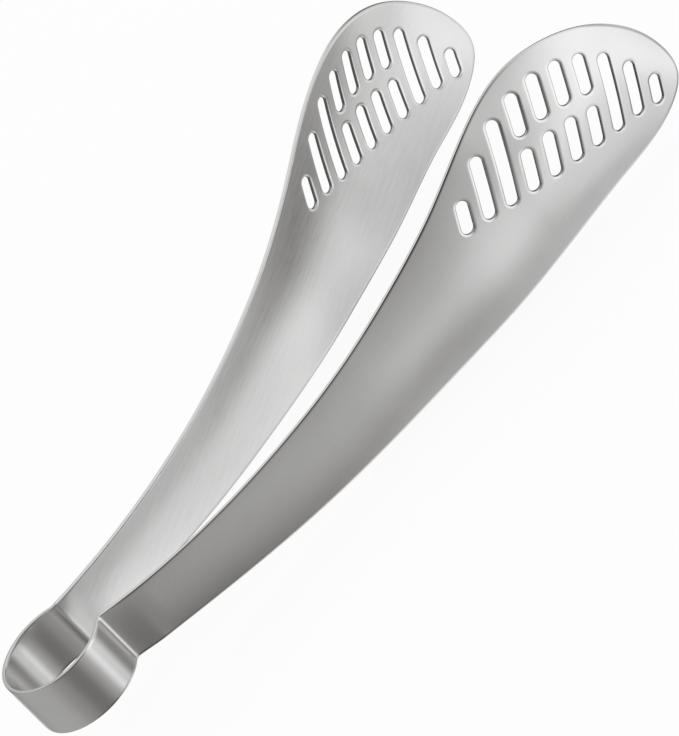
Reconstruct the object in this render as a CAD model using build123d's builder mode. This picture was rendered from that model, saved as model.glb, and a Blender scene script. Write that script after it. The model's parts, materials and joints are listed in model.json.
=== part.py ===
from build123d import *
from math import cos, pi, radians, sin, sqrt, tan
import os

# Barbecue tongs: two slotted steel arms that leave a springy loop at sharp creases.
# The loop's axis is Z, the tips point along +X, and the right arm mirrors the left one across XZ.

os.makedirs("parts", exist_ok=True)

# Sheet and loop
sheet = 1.4  # thickness of the steel everywhere
strip_width = 19.5  # width of the loop and of both necks
loop_radius = 17.5  # to the middle of the sheet
neck_angle = 48.5  # degrees from the centre line to each end of the loop
crease_radius = 2.4  # on the hollow side of the crease

# Arms seen from above
reach = 255.8  # loop axis to the tips
blade_length = 129.8  # scooped end of each arm, to the tip
spread_angle = 9.45  # degrees between the centre line and a straight handle
scoop_bow = 4.8  # how far the scoop bulges beyond the handle's line
tip_angle = 15.0  # degrees that the tip turns back towards the centre line
bow_shares = [(0.16, 0.115), (0.31, 0.41), (0.45, 0.68), (0.58, 0.90), (0.715, 1.0), (0.85, 0.83), (1.03, -0.08)]

# Arms seen from the side
blade_width = 56.7  # widest part of the blade
upper_handle_shares = [(0.378, 0.074), (0.614, 0.044), (0.871, 0.071)]
blade_shares = [
    (0.112, 0.166), (0.341, 0.328), (0.571, 0.531), (0.682, 0.568), (0.787, 0.524), (0.884, 0.400),
    (0.958, 0.205), (1.0, -0.037), (0.9915, -0.256), (0.921, -0.367), (0.722, -0.425), (0.513, -0.466),
    (0.223, -0.487),
]  # the blade's edge round the tip: shares of blade_length and blade_width
lower_handle_shares = [(0.906, -0.460), (0.607, -0.392), (0.364, -0.296)]

# Scoop across the blade
crown_radius = 102.0  # of the tightest bend across the blade
crown_start_share = -0.155  # height of the crown line at the blade's start, as a share of blade_width
crown_end_share = 0.13  # and at the tip
crown_peak_share = 1.5  # power that puts the tightest bend past the middle of the scoop
section_shares = [0.0, 0.06, 0.16, 0.30, 0.44, 0.57, 0.70, 0.83, 0.93, 1.0]

# Slots, in parallel columns whose middles follow an arc
slot_width = 4.3
slot_bar = 4.1  # steel left between the two slots of a split column
pitch_share = 0.0629  # of blade_length, from one column to the next
longest_column_share = 0.589  # of blade_width
split_share = 0.85  # a column longer than this share of the longest is split in two
pattern_reach_share = 0.7026  # of blade_length, from the blade's start to the middle of the pattern
pattern_height_share = 0.162  # of blade_width
pattern_radius_share = 0.478  # of blade_length, for the arc
pattern_angle = -26.3  # degrees that the row of columns leans
pattern_tilt = 10.5  # degrees between the row and its arc at the middle
column_shares = [0.32, 0.605, 0.83, 0.95, 1.0, 0.98, 0.905, 0.765, 0.53, 0.285]

overrun = 5.0  # how far cutting bodies pass beyond the sheet

# Directions of the left handle, and the crease that joins it to the loop
along = Vector(cos(radians(spread_angle)), sin(radians(spread_angle)), 0)
outward = Vector(-along.Y, along.X, 0)
neck_direction = Vector(cos(radians(neck_angle)), sin(radians(neck_angle)), 0)
bend_radius = crease_radius + sheet / 2
bend_centre = neck_direction * (loop_radius + bend_radius)
handle_foot = bend_centre - outward * bend_radius
blade_start = reach - blade_length
handle_end = handle_foot + along * ((blade_start - handle_foot.X) / along.X)
blank_half = blade_width / 2 + overrun

# Middle line of the scoop, bowed outward from the handle's line
bow_points = [
    handle_end + along * (blade_length / along.X * share) + outward * (scoop_bow * bow_share)
    for share, bow_share in bow_shares
]
with BuildLine() as scoop_plan:
    Spline(handle_end, *bow_points, tangents=(along, along.rotate(Axis.Z, -tip_angle)))
scoop_line = scoop_plan.edges()[0]


def crown_curve(share):
    """Bend across the blade at a share of the scoop line: one over its radius."""
    return sin(pi * share**crown_peak_share) / crown_radius


def crown_rise(share, height):
    """Height above the crown line."""
    return height - blade_width * (crown_start_share + (crown_end_share - crown_start_share) * share)


def sheet_point(share, height, offset):
    """Point of a section of the sheet, or of a face offset from its middle."""
    curve = crown_curve(share) / (1 + crown_curve(share) * offset)
    rise = crown_rise(share, height)
    return (offset - curve * rise**2 / (1 + sqrt(1 - (curve * rise) ** 2)), height)


def scoop_frame(distance):
    """Point, forward direction and outward direction of the scoop line at a distance along it."""
    place = scoop_line.position_at(distance, position_mode=PositionMode.LENGTH)
    forward = scoop_line.tangent_at(distance, position_mode=PositionMode.LENGTH)
    return place, forward, Vector(-forward.Y, forward.X, 0)


def blade_plane(distance, height):
    """Plane that touches the middle of the sheet, with X along the slots."""
    share = distance / scoop_line.length
    place, forward, normal = scoop_frame(distance)
    lean = crown_rise(share, height) * crown_curve(share)
    upright = sqrt(1 - lean**2)
    up = Vector(0, 0, upright) - normal * lean
    slot_axis = up * cos(radians(pattern_angle)) - forward * sin(radians(pattern_angle))
    inset, level = sheet_point(share, height, 0)
    return Plane(place + normal * inset + Vector(0, 0, level), x_dir=slot_axis, z_dir=normal * upright + Vector(0, 0, lean))


def column_places(column):
    """Length of a column's slots, and the middle of each: distance along the scoop, and height."""
    across = (column - (len(column_shares) - 1) / 2) * pitch_share * blade_length
    arc_radius = pattern_radius_share * blade_length
    lift = across * tan(radians(pattern_tilt)) - arc_radius + sqrt(arc_radius**2 - across**2)
    length = longest_column_share * blade_width * column_shares[column]
    shifts = [0]
    if column_shares[column] > split_share:
        length = (length - slot_bar) / 2
        shifts = [(length + slot_bar) / 2, -(length + slot_bar) / 2]
    lean = radians(pattern_angle)
    return length, [
        (
            pattern_reach_share * blade_length + across * cos(lean) - (lift + shift) * sin(lean),
            pattern_height_share * blade_width + across * sin(lean) + (lift + shift) * cos(lean),
        )
        for shift in shifts
    ]


# Spring loop: most of a ring, open towards the tips
with BuildPart() as spring_loop:
    with BuildSketch(Plane.XY.offset(-strip_width / 2)):
        with BuildLine():
            CenterArc((0, 0), loop_radius, neck_angle, 360 - 2 * neck_angle)
        trace(line_width=sheet)
    extrude(amount=strip_width)

# Left arm: crease, straight handle and scooped blade from one sheet
with BuildPart() as left_arm:
    with BuildSketch(Plane.XY.offset(-blank_half)):
        with BuildLine():
            CenterArc(bend_centre, bend_radius, neck_angle + 180, 90 + spread_angle - neck_angle)
            Line(handle_foot, handle_end)
        trace(line_width=sheet)
    extrude(amount=2 * blank_half)
    for share in section_shares:
        place, forward, normal = scoop_frame(share * scoop_line.length)
        faces = [
            [sheet_point(share, height, offset) for height in (-blank_half, 0, blank_half)]
            for offset in (-sheet / 2, sheet / 2)
        ]
        with BuildSketch(Plane(place, x_dir=normal, z_dir=forward)):
            with BuildLine():
                for low, middle, high in faces:
                    if 0 < share < 1:
                        ThreePointArc(low, middle, high)
                    else:
                        Line(low, high)
                for end in (0, 2):
                    Line(faces[0][end], faces[1][end])
            make_face()
    loft()
    with BuildSketch(Plane.XZ):
        with BuildLine():
            upper_neck = (handle_foot.X, strip_width / 2)
            lower_neck = (handle_foot.X, -strip_width / 2)
            upper = [(blade_start * share, blade_width * height) for share, height in upper_handle_shares]
            tip = [(blade_start + blade_length * share, blade_width * height) for share, height in blade_shares]
            lower = [(blade_start * share, blade_width * height) for share, height in lower_handle_shares]
            Spline(upper_neck, *upper, *tip, *lower, lower_neck)
            Polyline(lower_neck, (0, -strip_width / 2), (0, strip_width / 2), upper_neck)
        make_face()
    extrude(amount=reach / 2, both=True, mode=Mode.INTERSECT)
    for column in range(len(column_shares)):
        slot_length, places = column_places(column)
        for distance, height in places:
            with BuildSketch(blade_plane(distance, height)):
                SlotOverall(slot_length, slot_width)
            extrude(amount=overrun, both=True, mode=Mode.SUBTRACT)

# Right arm: the left one mirrored
with BuildPart() as right_arm:
    mirror(left_arm.part, about=Plane.XZ)

spring_loop.part.label = "spring_loop"
left_arm.part.label = "left_arm"
right_arm.part.label = "right_arm"
for piece in (spring_loop, left_arm, right_arm):
    export_step(piece.part, f"parts/{piece.part.label}.step")
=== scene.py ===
import json
import math

import bpy
import numpy as np
from mathutils import Matrix, Vector

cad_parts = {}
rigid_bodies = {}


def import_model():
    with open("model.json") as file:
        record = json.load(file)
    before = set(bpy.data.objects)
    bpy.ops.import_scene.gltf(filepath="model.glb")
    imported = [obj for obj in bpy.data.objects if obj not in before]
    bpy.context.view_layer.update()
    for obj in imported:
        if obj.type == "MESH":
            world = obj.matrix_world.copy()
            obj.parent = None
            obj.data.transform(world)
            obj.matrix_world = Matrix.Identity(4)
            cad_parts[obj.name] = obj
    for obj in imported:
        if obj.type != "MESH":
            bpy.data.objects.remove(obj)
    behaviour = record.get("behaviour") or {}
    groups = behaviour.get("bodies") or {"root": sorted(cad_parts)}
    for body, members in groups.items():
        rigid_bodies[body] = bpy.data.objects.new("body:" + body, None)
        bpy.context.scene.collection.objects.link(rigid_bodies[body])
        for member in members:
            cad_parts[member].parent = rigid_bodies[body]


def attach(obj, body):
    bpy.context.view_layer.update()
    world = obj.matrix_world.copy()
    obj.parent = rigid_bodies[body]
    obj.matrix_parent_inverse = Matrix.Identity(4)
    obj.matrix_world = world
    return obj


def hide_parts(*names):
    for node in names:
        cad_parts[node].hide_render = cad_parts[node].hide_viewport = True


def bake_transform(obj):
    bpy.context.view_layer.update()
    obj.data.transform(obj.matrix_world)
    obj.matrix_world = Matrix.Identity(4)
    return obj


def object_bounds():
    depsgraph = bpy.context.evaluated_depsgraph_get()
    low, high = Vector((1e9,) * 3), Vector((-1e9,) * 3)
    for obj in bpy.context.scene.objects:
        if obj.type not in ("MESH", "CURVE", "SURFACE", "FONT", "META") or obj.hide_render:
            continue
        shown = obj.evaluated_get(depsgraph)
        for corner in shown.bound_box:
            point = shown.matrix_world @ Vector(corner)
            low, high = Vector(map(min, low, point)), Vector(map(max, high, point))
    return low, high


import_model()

# Satin steel barbecue tongs: each arm is cut out flat and rolled, and two half strips make the loop

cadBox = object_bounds()
floorHeight = cadBox[0].z


# The sheet that everything is made from

sheetSteel = {
    "thickness": 0.0014,
    "edgeRound": 0.0003,  # on every cut edge
    "edgeSteps": 4,
    "tidyBand": 0.0011,  # ring of even faces kept beside each cut
    "rollOver": 14.0,  # degrees that the faces lean into a cut across that ring
    "gridStep": 0.0022,  # the flat arm is divided this finely before it is rolled
    "gridStretch": 1.5,  # its divisions across the arm are this much coarser
    "sharpAngle": 60,  # edges sharper than this are rounded
    "grainWrap": 0.7,  # how far the grain goes on over an edge
    "grainBack": 0.3,  # brushing on the arms' outside, against their inside
}

springStrip = {
    "radius": 0.0175,  # to the middle of the sheet
    "width": 0.0198,
    "neckAngle": 48.5,
    "creaseRadius": 0.0031,
    "step": 0.0006,
    "creaseSteps": 12,
    "edgeShadeShare": 0.3,  # share of the slot walls' painted shade that its slit edges get
    "brushed": 0.4,  # against the arms
}

armShape = {  # its outline follows a scratch fit to the photograph within 0.3 mm
    "reach": 0.2558,
    "bladeLength": 0.1298,
    "bladeWidth": 0.0567,
    "spread": 9.45,
    "bow": 0.0048,
    "tipTurn": 15.0,
    "bowShares": [
        (0.16, 0.115), (0.31, 0.41), (0.45, 0.68), (0.58, 0.90), (0.715, 1.0), (0.85, 0.83), (1.03, -0.08),
    ],
    "upperHandle": [(0.378, 0.074), (0.614, 0.044), (0.871, 0.071)],
    "bladeEdge": [
        (0.112, 0.166), (0.341, 0.328), (0.571, 0.531), (0.682, 0.568), (0.787, 0.524), (0.884, 0.400),
        (0.958, 0.205), (1.0, -0.037), (0.9915, -0.256), (0.921, -0.367), (0.722, -0.425), (0.513, -0.466),
        (0.223, -0.487),
    ],
    "lowerHandle": [(0.906, -0.460), (0.607, -0.392), (0.364, -0.296)],
    "crownRadius": 0.102,
    "crownLine": (-0.155, 0.13),
    "crownPeak": 1.5,
    "handleCrown": 0.085,  # the handles are slightly rounded across
    "handleFade": 0.016,  # from the crease
    "bladeFade": 0.5,  # share of the blade over which the handle's rounding fades out
    "handleMiddle": 0.75,  # share of the handle after which the rounding is about the crown line
    "handleHalf": (0.172, 0.11),  # half its height at the crease and what it gains, in blade widths
    "handleSplay": 0.0008,  # each handle's lower edge stands this much farther out
    "splayStart": 0.010,  # length from the crease over which it builds up
    "splayEnd": 0.145,  # distance from the crease where it is gone
    "splayFade": 0.06,
    "outlineStep": 0.0009,
    "neckOverlap": 0.003,  # cut off again after the edges are rounded
}

slotPattern = {  # lean and pitch are rounded from the same fit
    "width": 0.0043,
    "bar": 0.0041,
    "pitch": 0.0629,
    "longest": 0.589,
    "splitAbove": 0.85,
    "reach": 0.7026,
    "height": 0.162,
    "arcRadius": 0.478,
    "lean": -26.3,
    "tilt": 10.5,
    "columns": [0.32, 0.605, 0.83, 0.95, 1.0, 0.98, 0.905, 0.765, 0.53, 0.285],
    "roundSteps": 26,
    "shadeFrom": 0.0016,  # distance from a slot within which cut edges start to take its painted shade
    "shadeFade": 0.0010,
}


def turned(angle):
    return np.array([math.cos(math.radians(angle)), math.sin(math.radians(angle))])


def leftOf(direction):
    return np.stack([-direction[..., 1], direction[..., 0]], -1)


class SmoothLine:  # a cubic line through points, with even speed
    tableSize = 4001

    def __init__(self, points, ends=None):
        self.points = np.array(points, float)
        gaps = np.linalg.norm(np.diff(self.points, axis=0), axis=1)
        self.knots = np.concatenate([[0], np.cumsum(gaps)])
        last = len(gaps)
        rows = np.zeros((last + 1, last + 1))
        right = np.zeros_like(self.points)
        rows[0, 0] = rows[last, last] = 1
        if ends is None:
            ends = [self.endSlope(slice(0, 4), 0), self.endSlope(slice(last - 3, last + 1), last)]
        right[0], right[last] = ends
        for i in range(1, last):
            before, after = gaps[i - 1], gaps[i]
            rows[i, i - 1 : i + 2] = 1 / before, 2 / before + 2 / after, 1 / after
            right[i] = 3 * (self.points[i] - self.points[i - 1]) / before**2
            right[i] += 3 * (self.points[i + 1] - self.points[i]) / after**2
        self.slopes = np.linalg.solve(rows, right)
        self.table = np.linspace(0, self.knots[-1], self.tableSize)
        way = self.at(self.table)[0]
        self.travel = np.concatenate([[0], np.cumsum(np.linalg.norm(np.diff(way, axis=0), axis=1))])
        self.length = float(self.travel[-1])

    def endSlope(self, part, where):
        fits = [np.polyfit(self.knots[part], self.points[part, axis], 3) for axis in (0, 1)]
        return [np.polyval(np.polyder(fit), self.knots[where]) for fit in fits]

    def at(self, t):
        i = np.clip(np.searchsorted(self.knots, t, side="right") - 1, 0, len(self.knots) - 2)
        gap = self.knots[i + 1] - self.knots[i]
        s = ((t - self.knots[i]) / gap)[..., None]
        a, b = self.points[i], self.points[i + 1]
        u, v = self.slopes[i] * gap[..., None], self.slopes[i + 1] * gap[..., None]
        place = a + s * u + s**2 * (3 * (b - a) - 2 * u - v) + s**3 * (2 * (a - b) + u + v)
        slope = (u + 2 * s * (3 * (b - a) - 2 * u - v) + 3 * s**2 * (2 * (a - b) + u + v)) / gap[..., None]
        return place, slope / np.linalg.norm(slope, axis=-1, keepdims=True)

    def after(self, distance):
        return self.at(np.interp(distance, self.travel, self.table))


# Where the left arm runs, seen from above

along = turned(armShape["spread"])
outward = leftOf(along)
bendCentre = turned(springStrip["neckAngle"]) * (springStrip["radius"] + springStrip["creaseRadius"])
foot = bendCentre - outward * springStrip["creaseRadius"]
bladeStart = armShape["reach"] - armShape["bladeLength"]
handleLength = (bladeStart - foot[0]) / along[0]
handleEnd = foot + along * handleLength
scoopLine = SmoothLine(
    [handleEnd]
    + [
        handleEnd + along * (armShape["bladeLength"] / along[0] * share) + outward * (armShape["bow"] * bow)
        for share, bow in armShape["bowShares"]
    ],
    ends=[along, turned(armShape["spread"] - armShape["tipTurn"])],
)
ringLength = springStrip["radius"] * math.radians(180 - springStrip["neckAngle"])
creaseTurn = 90 + armShape["spread"] - springStrip["neckAngle"]
creaseLength = springStrip["creaseRadius"] * math.radians(creaseTurn)
stripLength = ringLength + creaseLength


def ease(t):
    t = np.clip(t, 0, 1)
    return t * t * (3 - 2 * t)


def crownDepth(distance, height):  # how far the rolled sheet falls back, across its height
    wide = armShape["bladeWidth"]
    way = distance / handleLength
    share = np.clip((distance - handleLength) / scoopLine.length, 0, 1)
    low, high = armShape["crownLine"]
    rise = height - wide * (low + (high - low) * share)
    curve = np.sin(math.pi * share ** armShape["crownPeak"]) / armShape["crownRadius"]
    fade = ease(distance / armShape["handleFade"]) * ease(1 - share / armShape["bladeFade"])
    rounding = fade / armShape["handleCrown"]
    middle = height - wide * low * ease(way / armShape["handleMiddle"])
    start, gain = armShape["handleHalf"]
    half = wide * (start + gain * way**2)
    opened = ease(distance / armShape["splayStart"])
    opened = opened * ease((armShape["splayEnd"] - distance) / armShape["splayFade"])
    depth = curve * rise**2 / (1 + np.sqrt(1 - (curve * rise) ** 2)) + rounding * (middle**2 - half**2) / 2
    return depth - armShape["handleSplay"] * opened * (0.5 - middle / (2 * half))


def armMiddle(distance, height):  # middle of the rolled sheet, for a point of the flat arm
    past = distance - handleLength
    place, forward = scoopLine.after(np.clip(past, 0, scoopLine.length))
    place = place + forward * (past - np.clip(past, 0, scoopLine.length))[..., None]
    flat = place - leftOf(forward) * crownDepth(distance, height)[..., None]
    return np.stack([flat[..., 0], flat[..., 1], height], -1)


def stripMiddle(distance, height):  # the same for half the spring loop, from its back to the arm
    angle = math.pi - np.clip(distance, 0, ringLength) / springStrip["radius"]
    ring = np.stack([np.cos(angle), np.sin(angle)], -1) * springStrip["radius"]
    turn = math.radians(springStrip["neckAngle"] + 180)
    turn = turn + (distance - ringLength) / springStrip["creaseRadius"]
    crease = bendCentre + np.stack([np.cos(turn), np.sin(turn)], -1) * springStrip["creaseRadius"]
    flat = np.where((distance > ringLength)[..., None], crease, ring)
    back = np.minimum(distance, 0)  # straight on beyond the seam
    return np.stack([flat[..., 0], flat[..., 1] + back, height], -1)


def unit(v):
    return v / np.linalg.norm(v, axis=-1, keepdims=True)


# Tools that are used for every piece


def clearSelection():
    if bpy.context.object and bpy.context.object.mode != "OBJECT":
        bpy.ops.object.mode_set(mode="OBJECT")
    bpy.ops.object.select_all(action="DESELECT")


def editing(piece):
    clearSelection()
    bpy.context.view_layer.objects.active = piece
    piece.select_set(True)
    bpy.ops.object.mode_set(mode="EDIT")


def applyAll(piece):
    clearSelection()
    bpy.context.view_layer.objects.active = piece
    piece.select_set(True)
    for modifier in list(piece.modifiers):
        bpy.ops.object.modifier_apply(modifier=modifier.name)


def cutAt(spots, normal):
    for spot in spots:
        bpy.ops.mesh.select_all(action="SELECT")
        bpy.ops.mesh.bisect(plane_co=spot, plane_no=normal)


def coordinates(piece):
    co = np.zeros(len(piece.data.vertices) * 3)
    piece.data.vertices.foreach_get("co", co)
    return co.reshape(-1, 3)


def roll(flatPiece, name, middle, side, cuts, seam=0.0):
    piece = flatPiece.copy()
    piece.data = flatPiece.data.copy()
    piece.name = piece.data.name = name
    bpy.context.scene.collection.objects.link(piece)
    mesh = piece.data
    flat = coordinates(piece)
    half, rounding, band = sheetSteel["thickness"] / 2, sheetSteel["edgeRound"], sheetSteel["tidyBand"]
    away, towards, edgeShade = cuts  # distance to the nearest cut, the way to it, and how much painted shade that cut gets
    level = np.clip((np.abs(flat[:, 1]) - half + rounding) / rounding, 0, 1)
    level[level > 0.999] = 1
    roller = math.radians(sheetSteel["rollOver"])
    share = np.clip((band - away) / (band - rounding), 0, 1)
    sink = 0.5 * math.tan(roller) * (band - rounding) * share**2
    overEdge = roller + (math.pi / 2 - roller) * np.arccos(level) * 2 / math.pi
    angle = np.where(level < 1, overEdge, roller * share)
    up = np.sign(flat[:, 1])
    thick = flat[:, 1] - up * sink * np.where(np.abs(flat[:, 1]) > half - rounding - 1e-6, 1, 0)
    bright = towards * np.sin(angle)[:, None] + np.stack([0 * up, up, 0 * up], -1) * np.cos(angle)[:, None]
    small = 1e-5
    u, z = flat[:, 0], flat[:, 2]
    forward = unit(middle(u + small, z) - middle(u - small, z))
    upward = unit(middle(u, z + small) - middle(u, z - small))
    outwards = unit(np.cross(upward, forward))
    upward = np.cross(forward, outwards)
    rolled = middle(u, z) + outwards * thick[:, None]
    shine = forward * bright[:, 0:1] + outwards * bright[:, 1:2] + upward * bright[:, 2:3]
    rolled[:, 1] *= side
    shine[:, 1] *= side
    mesh.vertices.foreach_set("co", rolled.ravel())
    if side < 0:
        mesh.flip_normals()
    mesh.update()
    corners = np.zeros(len(mesh.loops), int)
    mesh.loops.foreach_get("vertex_index", corners)
    cornerNormals = unit(shine[corners])
    for face in mesh.polygons:  # the square ends stay flat
        spread = flat[list(face.vertices), 0]
        if spread.max() - spread.min() < 1e-6 and len(face.vertices) > 6:
            for loop in face.loop_indices:
                cornerNormals[loop] = face.normal
    mesh.shade_smooth()
    brushed = np.where(flat[:, 1] < 0, 1.0, sheetSteel["grainBack"])
    brushed = brushed * (springStrip["brushed"] if seam else 1.0)
    for word, values in (("cut", 1 - level), ("edgeShade", edgeShade), ("worn", share), ("brushed", brushed)):
        mesh.attributes.new(word, "FLOAT", "POINT").data.foreach_set("value", values.astype(np.float32))
    while mesh.uv_layers:  # the blank's own map would be used otherwise
        mesh.uv_layers.remove(mesh.uv_layers[0])
    grain = mesh.uv_layers.new(name="grain")
    uv = np.stack([u - seam, z + flat[:, 1] * sheetSteel["grainWrap"]], -1)[corners]
    grain.data.foreach_set("uv", uv.ravel())
    mesh.normals_split_custom_set([tuple(n) for n in cornerNormals])
    return piece


# Arm blank, cut out flat: X is the distance from the crease, Y the thickness, Z the height


def distanceFor(x, height):  # distance along the flat arm that ends up at this x, by halving
    margin, halvings = 0.02, 48
    low, high = np.full(len(x), -margin / 2), np.full(len(x), handleLength + scoopLine.length + margin)
    for _ in range(halvings):
        guess = (low + high) / 2
        short = armMiddle(guess, height)[:, 0] < x
        low, high = np.where(short, guess, low), np.where(short, high, guess)
    return (low + high) / 2


def edgePoints(part, start, long):  # points given as shares of a length and of the blade's width
    return [(start + long * share, armShape["bladeWidth"] * height) for share, height in armShape[part]]


def armOutline():
    halfStrip = springStrip["width"] / 2
    upper = edgePoints("upperHandle", 0, bladeStart)
    tip = edgePoints("bladeEdge", bladeStart, armShape["bladeLength"])
    lower = edgePoints("lowerHandle", 0, bladeStart)
    edge = SmoothLine([(foot[0], halfStrip), *upper, *tip, *lower, (foot[0], -halfStrip)])
    count = round(edge.length / armShape["outlineStep"])
    points = edge.after(np.linspace(0, edge.length, count))[0]
    flat = np.stack([distanceFor(points[:, 0], points[:, 1]), points[:, 1]], -1)
    flat[0, 0] = flat[-1, 0] = 0
    back = -armShape["neckOverlap"]
    return [(back, -halfStrip), (back, halfStrip)] + [tuple(p) for p in flat]


def slotPlaces():
    wide, long = armShape["bladeWidth"], armShape["bladeLength"]
    lean = math.radians(slotPattern["lean"])
    arc = slotPattern["arcRadius"] * long
    middleColumn = (len(slotPattern["columns"]) - 1) / 2
    for number, share in enumerate(slotPattern["columns"]):
        across = (number - middleColumn) * slotPattern["pitch"] * long
        lift = across * math.tan(math.radians(slotPattern["tilt"])) - arc + math.sqrt(arc**2 - across**2)
        length = slotPattern["longest"] * wide * share
        shifts = [0]
        if share > slotPattern["splitAbove"]:
            length = (length - slotPattern["bar"]) / 2
            apart = (length + slotPattern["bar"]) / 2
            shifts = [apart, -apart]
        for shift in shifts:
            up = lift + shift
            distance = slotPattern["reach"] * long + across * math.cos(lean) - up * math.sin(lean)
            height = slotPattern["height"] * wide + across * math.sin(lean) + up * math.cos(lean)
            yield handleLength + distance, height, length


def slotShape(distance, height, length):  # ends of a slot's middle line, and how far its slope shortens it
    small = 0.0005
    slope = (crownDepth(distance, height + small) - crownDepth(distance, height - small)) / (2 * small)
    lean = math.radians(slotPattern["lean"])
    reach = (length - slotPattern["width"]) / 2
    return np.array([-math.sin(lean), math.cos(lean)]) * reach, float(1 / math.sqrt(1 + slope**2))


def nearestOn(points, line):  # nearest places on a line of straight runs
    best = np.full(len(points), 1e9)
    found = np.zeros_like(points)
    for a, b in zip(line[:-1], line[1:]):
        run = b - a
        t = np.clip((points - a) @ run / (run @ run), 0, 1)[:, None]
        place = a + t * run
        gap = np.linalg.norm(points - place, axis=1)
        found = np.where((gap < best)[:, None], place, found)
        best = np.minimum(gap, best)
    return found, best


sameSpot = 3e-6  # points nearer than this are the same


def armCuts(flat):
    points = flat[:, [0, 2]]
    edge = np.array(outline[2:])
    place, away = nearestOn(points, edge)
    onEdge = away < sameSpot
    towards = unit(np.where(onEdge[:, None], 1.0, place - points))
    beside = leftOf(unit(np.gradient(edge, axis=0)))
    for index in np.flatnonzero(onEdge):
        towards[index] = beside[np.argmin(np.linalg.norm(edge - points[index], axis=1))]
    edgeShade = np.zeros(len(points))
    for distance, height, length in slotPlaces():
        reach, squeeze = slotShape(distance, height, length)
        local = (points - [distance, height]) / [1, squeeze]
        place, gap = nearestOn(local, np.array([-reach, reach]))
        out = local - place
        gap = gap - slotPattern["width"] / 2
        closer = gap < away
        away = np.where(closer, gap, away)
        towards = np.where(closer[:, None], -unit(out + 1e-12), towards)
        # near a slot the cut edge takes the slot walls' painted shade
        edgeShade = np.where(closer, ease((slotPattern["shadeFrom"] - gap) / slotPattern["shadeFade"]), edgeShade)
    return np.maximum(away, 0), np.stack([towards[:, 0], 0 * away, towards[:, 1]], -1), edgeShade


def stripCuts(flat):
    away = springStrip["width"] / 2 - np.abs(flat[:, 2])
    towards = np.stack([0 * away, 0 * away, np.sign(flat[:, 2])], -1)
    # the loop's slit edges take a share of the slot walls' painted shade
    return away, towards, np.full(len(away), springStrip["edgeShadeShare"])


def selected(piece):
    piece.update_from_editmode()
    return [v.index for v in piece.data.vertices if v.select]


outline = armOutline()
clearSelection()
bpy.ops.mesh.primitive_circle_add(
    vertices=len(outline), radius=1, fill_type="NGON", rotation=(math.pi / 2, 0, 0)
)
armBlank = bpy.context.object
armBlank.name = "armBlank"
bpy.ops.object.transform_apply(location=False, rotation=True, scale=False)
armBlank.data.vertices.foreach_set("co", np.array([(x, 0, z) for x, z in outline]).ravel())
armBlank.data.update()
editing(armBlank)
bpy.ops.mesh.select_all(action="SELECT")
bpy.ops.mesh.inset(thickness=sheetSteel["tidyBand"], depth=0)
rims = armBlank.vertex_groups.new(name="rims")
bpy.ops.object.vertex_group_assign()
bpy.ops.mesh.delete(type="ONLY_FACE")
for distance, height, length in slotPlaces():
    bpy.ops.mesh.select_all(action="DESELECT")
    steps = slotPattern["roundSteps"]
    radius = slotPattern["width"] / 2
    bpy.ops.mesh.primitive_circle_add(
        vertices=steps, radius=radius, location=(distance, 0, height),
        rotation=(math.pi / 2, math.radians(180 / steps), 0),
    )
    bpy.ops.mesh.extrude_edges_indiv()
    bpy.ops.transform.resize(
        value=[1 + sheetSteel["tidyBand"] / radius] * 3, center_override=(distance, 0, height)
    )
    bpy.ops.object.vertex_group_assign()
    bpy.ops.mesh.select_linked()
    chosen = selected(armBlank)
    clearSelection()
    reach, squeeze = slotShape(distance, height, length)
    lean = math.radians(slotPattern["lean"])
    centre = Vector((distance, 0, height))
    for index in chosen:  # the round's two halves move apart, and the slot leans with the column
        vertex = armBlank.data.vertices[index]
        x, z = vertex.co.x - distance, vertex.co.z - height
        end = math.copysign(1, z) * reach
        along = x * math.cos(lean) - z * math.sin(lean) + end[0]
        up = x * math.sin(lean) + z * math.cos(lean) + end[1]
        vertex.co = centre + Vector((along, 0, up * squeeze))
    editing(armBlank)
clearSelection()
group = armBlank.vertex_groups["rims"].index
inGroup = {v.index for v in armBlank.data.vertices if any(g.group == group for g in v.groups)}
for edge in armBlank.data.edges:
    edge.select = all(v in inGroup for v in edge.vertices)
for vertex in armBlank.data.vertices:
    vertex.select = vertex.index in inGroup
for face in armBlank.data.polygons:
    face.select = False
editing(armBlank)
bpy.ops.mesh.select_mode(type="EDGE")
bpy.ops.mesh.fill(use_beauty=True)
bpy.ops.mesh.select_all(action="SELECT")
bpy.ops.mesh.normals_make_consistent(inside=False)
clearSelection()
wallUp = armBlank.modifiers.new("thickness", "SOLIDIFY")
wallUp.thickness = sheetSteel["thickness"]
wallUp.offset = 0
rounded = armBlank.modifiers.new("edges", "BEVEL")
rounded.width = sheetSteel["edgeRound"]
rounded.segments = sheetSteel["edgeSteps"]
rounded.limit_method = "ANGLE"
rounded.angle_limit = math.radians(sheetSteel["sharpAngle"])
rounded.use_clamp_overlap = False
applyAll(armBlank)
editing(armBlank)
bpy.ops.mesh.select_all(action="SELECT")
bpy.ops.mesh.bisect(plane_co=(0, 0, 0), plane_no=(1, 0, 0), clear_inner=True, use_fill=True)
lowest, highest = min(z for x, z in outline), max(z for x, z in outline)
farthest = max(x for x, z in outline)
grid = sheetSteel["gridStep"]
cutAt([(x, 0, 0) for x in np.arange(grid, farthest, grid)], (1, 0, 0))
cutAt([(0, 0, z) for z in np.arange(lowest + grid, highest, sheetSteel["gridStretch"] * grid)], (0, 0, 1))
clearSelection()
print("arm blank:", len(armBlank.data.polygons), "faces")

# Half of the spring loop, also flat first

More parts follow.
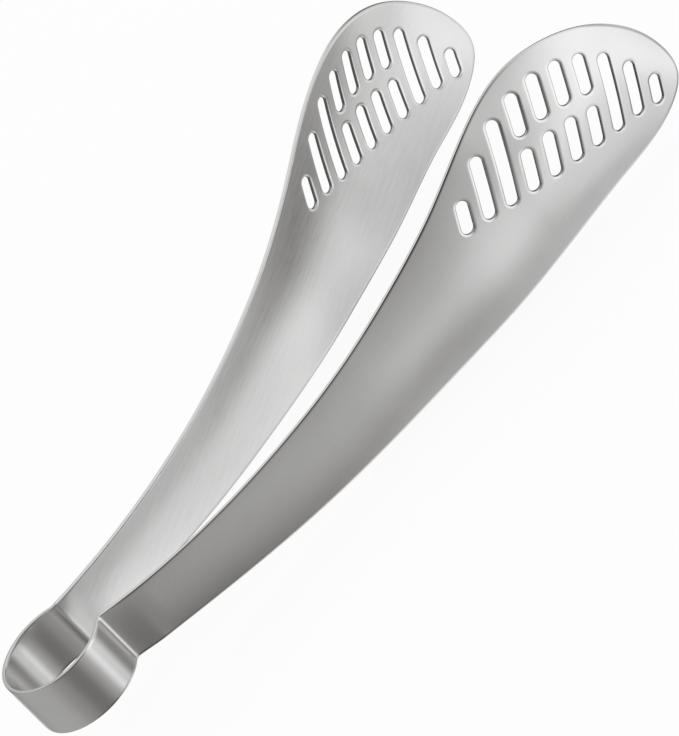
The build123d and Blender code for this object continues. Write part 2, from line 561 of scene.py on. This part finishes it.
bpy.ops.mesh.primitive_cube_add(size=1, location=(stripLength / 2, 0, 0))
stripBlank = bpy.context.object
stripBlank.name = "stripBlank"
stripBlank.scale = (stripLength, sheetSteel["thickness"], springStrip["width"])
bpy.ops.object.transform_apply(location=True, rotation=False, scale=True)
editing(stripBlank)
bpy.ops.mesh.select_all(action="DESELECT")
clearSelection()
for edge in stripBlank.data.edges:
    a, b = (stripBlank.data.vertices[v].co for v in edge.vertices)
    edge.select = abs(a.x - b.x) > sameSpot
editing(stripBlank)
bpy.ops.mesh.select_mode(type="EDGE")
bpy.ops.mesh.bevel(offset=sheetSteel["edgeRound"], segments=sheetSteel["edgeSteps"], clamp_overlap=False)
cutAt([(x, 0, 0) for x in np.arange(springStrip["step"], ringLength, springStrip["step"])], (1, 0, 0))
creaseCuts = np.linspace(ringLength, stripLength, springStrip["creaseSteps"] + 1)[:-1]
cutAt([(x, 0, 0) for x in creaseCuts], (1, 0, 0))
inner = springStrip["width"] / 2 - sheetSteel["tidyBand"]
cutAt([(0, 0, z) for z in (-inner, -inner / 3, inner / 3, inner)], (0, 0, 1))
clearSelection()
print("strip blank:", len(stripBlank.data.polygons), "faces")

sides = {"left": 1, "right": -1}
armEdges = armCuts(coordinates(armBlank))
stripEdges = stripCuts(coordinates(stripBlank))
pieces = {}
for word, side in sides.items():
    arm = roll(armBlank, f"steel_arm_{word}", armMiddle, side, armEdges)
    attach(arm, word)
    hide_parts(f"{word}_arm")
    half = roll(stripBlank, f"loop_half_{word}", stripMiddle, side, stripEdges, seam=stripLength)
    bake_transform(half)
    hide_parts("spring_loop")
    for piece in (arm, half):
        pieces[piece.name] = piece
for blank in (armBlank, stripBlank):
    bpy.data.objects.remove(blank)
print("rolled:", {name: len(piece.data.polygons) for name, piece in pieces.items()})

# Materials


class Tree:
    def __init__(self, owner):
        owner.use_nodes = True
        self.tree = owner.node_tree
        self.tree.nodes.clear()

    def node(self, kind, settings=None, **inputs):
        made = self.tree.nodes.new(kind)
        for name, value in (settings or {}).items():
            setattr(made, name, value)
        for name, value in inputs.items():  # input3 is the socket's number, any other word its name
            key = int(name[5:]) if name.startswith("input") else name.replace("_", " ")
            self.plug(made.inputs[key], value)
        return made

    def plug(self, socket, value):
        if isinstance(value, Wire):
            self.tree.links.new(value.socket, socket)
        elif isinstance(value, bpy.types.NodeSocket):
            self.tree.links.new(value, socket)
        else:
            socket.default_value = value

    def softStep(self, value, low, high, start=0.0, end=1.0):
        settings = {"interpolation_type": "SMOOTHSTEP"}
        sockets = {"From_Min": low, "From_Max": high, "To_Min": start, "To_Max": end}
        return Wire(self, self.node("ShaderNodeMapRange", settings, Value=value, **sockets).outputs[0])

    def blend(self, share, first, second):
        settings = {"data_type": "RGBA"}
        return self.node("ShaderNodeMix", settings, input0=share, input6=first, input7=second).outputs[2]


class Wire:
    def __init__(self, tree, socket):
        self.tree, self.socket = tree, socket

    def maths(self, operation, a, b=0.0):
        made = self.tree.node("ShaderNodeMath", {"operation": operation}, input0=a, input1=b)
        return Wire(self.tree, made.outputs[0])

    def __add__(self, other):
        return self.maths("ADD", self, other)

    def __radd__(self, other):
        return self.maths("ADD", other, self)

    def __sub__(self, other):
        return self.maths("SUBTRACT", self, other)

    def __rsub__(self, other):
        return self.maths("SUBTRACT", other, self)

    def __mul__(self, other):
        return self.maths("MULTIPLY", self, other)

    def __rmul__(self, other):
        return self.maths("MULTIPLY", other, self)


satinSteel = {
    "colour": (0.72, 0.719, 0.717, 1),
    "cutColour": (0.57, 0.569, 0.567, 1),
    # painted shade: the slot walls are coloured almost black to stand in for the shade inside the slots
    "slotShadeColour": (0.17, 0.168, 0.165, 1),
    "roughness": 0.22,
    "cutRoughness": 0.34,
    "wornRoughness": 0.17,  # where hands and food rub the rims
    "streak": (70, 800),  # brushed lines per metre, along and across the strip
    "streakTurn": 11,
    "streakShare": 0.55,
    "hairline": (170, 1700),
    "hairlineTurn": 5,
    "hairlineShare": 0.45,
    "scratch": (34, 900),
    "scratchBand": (0.80, 0.84),  # only the highest noise is a scratch
    "patch": (48, 48),
    "noiseRoughness": 0.55,
    "streakTone": 0.15,
    "patchTone": 0.09,
    "scratchTone": 0.012,
    "wornTone": 0.03,
    "streakGloss": 0.08,
    "patchGloss": 0.05,
    "scratchGloss": 0.02,
    "bumpStrength": 0.12,
    "bumpDepth": 0.0001,
}

steel = bpy.data.materials.new("satin_steel")
tree = Tree(steel)
where = Wire(tree, tree.node("ShaderNodeTexCoord").outputs["UV"])


def noise(lines, turn=0.0, detail=2.0):  # grain of so many lines per metre both ways, turned on the sheet
    turning = (0, 0, math.radians(turn))
    placed = tree.node("ShaderNodeMapping", {"vector_type": "TEXTURE"}, Vector=where, Rotation=turning)
    stretched = tree.node("ShaderNodeMapping", Vector=placed.outputs[0], Scale=(*lines, 1))
    made = tree.node(
        "ShaderNodeTexNoise", {"noise_dimensions": "2D"}, Vector=stretched.outputs[0],
        Scale=1.0, Detail=detail, Roughness=satinSteel["noiseRoughness"],
    )
    return Wire(tree, made.outputs[0])


def onSheet(word):
    return Wire(tree, tree.node("ShaderNodeAttribute", {"attribute_name": word}).outputs["Fac"])


cut, edgeShade, worn, brushed = (onSheet(word) for word in ("cut", "edgeShade", "worn", "brushed"))
streak = noise(satinSteel["streak"], satinSteel["streakTurn"]) * satinSteel["streakShare"]
streak = streak + noise(satinSteel["hairline"], satinSteel["hairlineTurn"]) * satinSteel["hairlineShare"]
cloud = noise(satinSteel["patch"], detail=3.0)
scratch = noise(satinSteel["scratch"], satinSteel["streakTurn"], detail=0.0)
scratch = tree.softStep(scratch, *satinSteel["scratchBand"])
# painted shade: slot walls are near-black, and the loop's slit edges get a share of it; other cut edges are
# a duller steel
edgeTone = tree.blend(edgeShade, satinSteel["cutColour"], satinSteel["slotShadeColour"])
tone = tree.blend(cut, satinSteel["colour"], edgeTone)
shade = 1 + (streak - 0.5) * brushed * satinSteel["streakTone"] + (cloud - 0.5) * satinSteel["patchTone"]
shade = shade - scratch * satinSteel["scratchTone"] + worn * satinSteel["wornTone"]
painted = tree.node("ShaderNodeVectorMath", {"operation": "SCALE"}, input0=tone, Scale=shade)
gloss = satinSteel["roughness"] + (streak - 0.5) * brushed * satinSteel["streakGloss"]
gloss = gloss + (cloud - 0.5) * satinSteel["patchGloss"] + scratch * satinSteel["scratchGloss"]
gloss = gloss + worn * (satinSteel["wornRoughness"] - satinSteel["roughness"])
gloss = gloss + cut * (satinSteel["cutRoughness"] - satinSteel["wornRoughness"])
relief = tree.node(
    "ShaderNodeBump", Height=streak * brushed,
    Strength=satinSteel["bumpStrength"], Distance=satinSteel["bumpDepth"],
)
steelShader = tree.node(
    "ShaderNodeBsdfPrincipled", Base_Color=painted.outputs[0], Metallic=1.0,
    Roughness=gloss, Normal=relief.outputs[0],
)
tree.node("ShaderNodeOutputMaterial", Surface=steelShader.outputs[0])
for piece in pieces.values():
    piece.data.materials.clear()
    piece.data.materials.append(steel)
print("painted:", steel.name)

# Floor, light and camera

studio = {
    "floorSize": 12.0,
    "floorColour": (0.985, 0.985, 0.985, 1),
    "floorGlow": 0.92,  # share of the floor's light that comes through it, as on a light table
    "worldStrength": 0.95,
    "keyAzimuth": 120,
    "keyElevation": 62,
    "keyDistance": 1.2,
    "keySize": 1.0,
    "keyPower": 1.0,
}

lightTent = {  # what the steel mirrors
    "centre": (0.12, 0, 0),
    "radius": 0.45,
    "warm": (1.03, 1.0, 0.955, 1),  # tint of its darker side
    "plain": (1, 1, 1, 1),
    "warmBand": (0.15, 0.60),  # the glow over which that tint fades
    "segments": (64, 32),
    "base": 0.12,
    "patches": [  # azimuth, elevation, inner and outer angle, gain: mostly from a fit to the photo's tones
        (160, 75, 10, 70, 1.05),
        (0, -90, 12, 30, 0.6),
        (30, -68, 8, 30, 0.5),
        (185, -45, 18, 32, 0.6),
        (175, 5, 15, 38, 0.5),
        (-5, 10, 5, 30, -0.13),
        (11, -18, 7, 41, 0.40),
        (45, 8, 27, 48, 0.77),
        (-40, -44, 22, 56, -0.02),
        (14, -27, 0, 14, 0.40),
        (-43, -21, 7, 24, 0.11),
        (-104, -13, 11, 59, 0.36),
        (70, -25, 8, 24, -0.27),
        (57, -5, 16, 23, -0.45),
        (88, -31, 23, 54, 0.37),
        (18, -34, 0, 9, 0.36),
        (57, -41, 0, 14, -0.10),
        (36, -31, 2, 14, 0.19),
    ],
}

glowCards = [  # two small lit cards before the tips, mostly from such a fit
    {
        "name": "near_card", "place": (0.259, -0.203, -0.146), "turn": 0,
        "inner": 0.052, "outer": 0.071, "light": 0.89,
    },
    {
        "name": "far_card", "place": (0.322, -0.022, -0.065), "turn": 68,
        "inner": 0.003, "outer": 0.079, "light": 1.02,
    },
]

photoView = {  # from a fit to the photograph's outlines
    "aim": (0.12453, -0.00845, -0.00836),
    "distance": 1.86848,
    "azimuth": -20.02,
    "elevation": 30.256,
    "roll": -42.904,
    "lens": 299.43,
    "sensor": 36,
    "clip": (0.1, 100),
}

clearSelection()
bpy.ops.mesh.primitive_plane_add(size=studio["floorSize"], location=(0, 0, floorHeight))
floor = bpy.context.object
floor.name = "studio_floor"
floorPaint = bpy.data.materials.new("pale_floor")
tree = Tree(floorPaint)
paint = tree.node("ShaderNodeBsdfDiffuse", Color=studio["floorColour"])
lit = tree.node("ShaderNodeEmission", Color=studio["floorColour"], Strength=1.0)
table = tree.node(
    "ShaderNodeMixShader", input0=studio["floorGlow"], input1=paint.outputs[0], input2=lit.outputs[0]
)
tree.node("ShaderNodeOutputMaterial", Surface=table.outputs[0])
floor.data.materials.append(floorPaint)
floor.visible_glossy = False


def direction(azimuth, elevation):
    a, e = math.radians(azimuth), math.radians(elevation)
    return Vector((math.sin(a) * math.cos(e), -math.cos(a) * math.cos(e), math.sin(e)))


def mirroredOnly(shape, material):  # only reflections show it, and it lights nothing
    material.cycles.emission_sampling = "NONE"
    shape.data.materials.append(material)
    for kind in ("camera", "diffuse", "transmission", "volume_scatter", "shadow"):
        setattr(shape, "visible_" + kind, False)


def vectorFrom(tree, operation, output, first, **others):
    made = tree.node("ShaderNodeVectorMath", {"operation": operation}, input0=first, **others)
    return made.outputs[output]


clearSelection()
segments, rings = lightTent["segments"]
bpy.ops.mesh.primitive_uv_sphere_add(
    segments=segments, ring_count=rings, radius=lightTent["radius"], location=lightTent["centre"]
)
tent = bpy.context.object
tent.name = "light_tent"
cloth = bpy.data.materials.new("tent_cloth")
tree = Tree(cloth)
look = tree.node("ShaderNodeTexCoord").outputs["Object"]
towards = vectorFrom(tree, "NORMALIZE", "Vector", look)
glow = lightTent["base"]
for azimuth, elevation, inner, outer, gain in lightTent["patches"]:
    near = vectorFrom(tree, "DOT_PRODUCT", "Value", towards, input1=direction(azimuth, elevation))
    rim, core = (math.cos(math.radians(angle)) for angle in (outer, inner))
    glow = tree.softStep(near, rim, core, end=gain) + glow
tint = tree.blend(tree.softStep(glow, *lightTent["warmBand"]), lightTent["warm"], lightTent["plain"])
shining = tree.node("ShaderNodeEmission", Color=tint, Strength=glow)
tree.node("ShaderNodeOutputMaterial", Surface=shining.outputs[0])
mirroredOnly(tent, cloth)


def addCard(name, place, turn, inner, outer, light):  # soft-edged disc
    clearSelection()
    facing = (math.pi / 2, 0, math.radians(turn))
    bpy.ops.mesh.primitive_circle_add(
        vertices=64, radius=outer, fill_type="NGON", location=place, rotation=facing
    )
    card = bpy.context.object
    card.name = name
    paper = bpy.data.materials.new(name + "_paper")
    tree = Tree(paper)
    reach = vectorFrom(tree, "LENGTH", "Value", tree.node("ShaderNodeTexCoord").outputs["Object"])
    solid = tree.softStep(reach, inner, outer, start=1.0, end=0.0)
    clear = tree.node("ShaderNodeBsdfTransparent", Color=(1, 1, 1, 1))
    lit = tree.node("ShaderNodeEmission", Color=(1, 1, 1, 1), Strength=light)
    sheer = tree.node("ShaderNodeMixShader", input0=solid, input1=clear.outputs[0], input2=lit.outputs[0])
    tree.node("ShaderNodeOutputMaterial", Surface=sheer.outputs[0])
    mirroredOnly(card, paper)


for shape in glowCards:
    addCard(**shape)

world = bpy.data.worlds.new("studio")
bpy.context.scene.world = world
tree = Tree(world)
background = tree.node("ShaderNodeBackground", Color=(1, 1, 1, 1), Strength=studio["worldStrength"])
tree.node("ShaderNodeOutputWorld", Surface=background.outputs[0])
world.cycles_visibility.glossy = False

clearSelection()
aim = Vector(photoView["aim"])
keyWay = direction(studio["keyAzimuth"], studio["keyElevation"])
bpy.ops.object.light_add(type="AREA", location=keyWay * studio["keyDistance"] + aim)
softKey = bpy.context.object
softKey.name = "soft_key"
softKey.data.size = studio["keySize"]
softKey.data.energy = studio["keyPower"]
softKey.rotation_euler = keyWay.to_track_quat("Z", "Y").to_euler()
softKey.visible_glossy = False
print("lit: tent,", len(glowCards), "cards, one lamp")

clearSelection()
back = direction(photoView["azimuth"], photoView["elevation"])
bpy.ops.object.camera_add(location=aim + back * photoView["distance"])
camera = bpy.context.object
camera.data.lens = photoView["lens"]
camera.data.sensor_width = photoView["sensor"]
camera.data.clip_start, camera.data.clip_end = photoView["clip"]
straight = (-back).to_track_quat("-Z", "Y").to_matrix()
camera.rotation_euler = (straight @ Matrix.Rotation(math.radians(photoView["roll"]), 3, "Z")).to_euler()
bpy.context.scene.camera = camera
bpy.context.scene.view_settings.view_transform = "Standard"
bpy.context.view_layer.update()
print("camera at", [round(x, 4) for x in camera.location])
